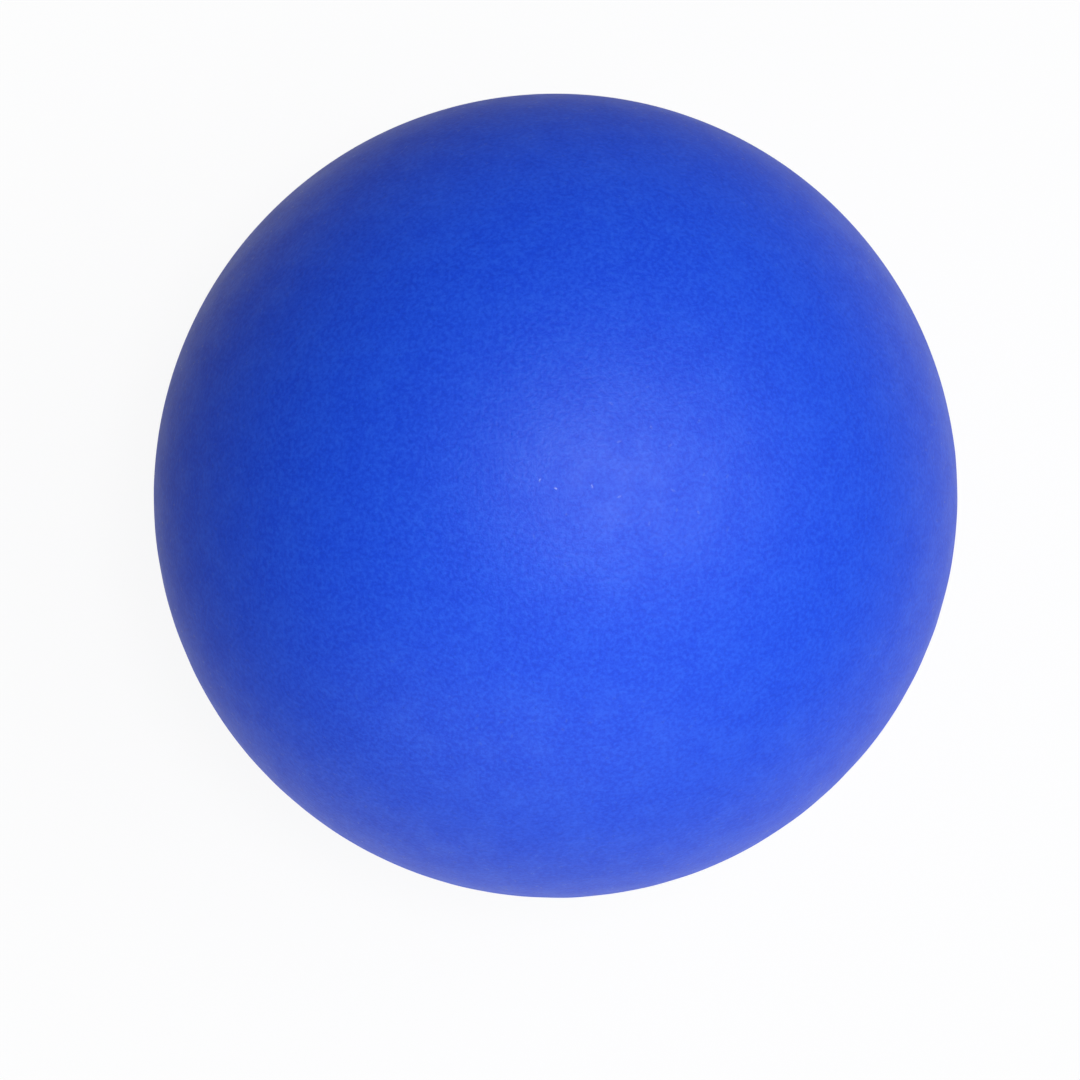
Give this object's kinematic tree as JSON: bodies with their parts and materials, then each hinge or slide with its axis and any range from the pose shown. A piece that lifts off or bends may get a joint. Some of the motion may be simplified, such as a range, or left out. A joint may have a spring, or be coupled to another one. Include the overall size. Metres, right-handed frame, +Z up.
{
  "type": "lacrosse ball",
  "caption": "Smooth matte blue lacrosse ball of solid rubber: a moulded core inside a bonded cover, with a faint mould parting line round it.",
  "frame": {"origin": "centre of the ball", "axes": "+Z up, along the mould's opening, from the lower cover to the upper cover; the parting plane is XY"},
  "size_m": [0.0638, 0.0638, 0.0636],
  "materials": {
    "cover_rubber": "matte",
    "core_rubber": "matte"
  },
  "bodies": {
    "root": {"rubber_core": "core_rubber", "upper_cover": "cover_rubber", "lower_cover": "cover_rubber"}
  },
  "joints": []
}
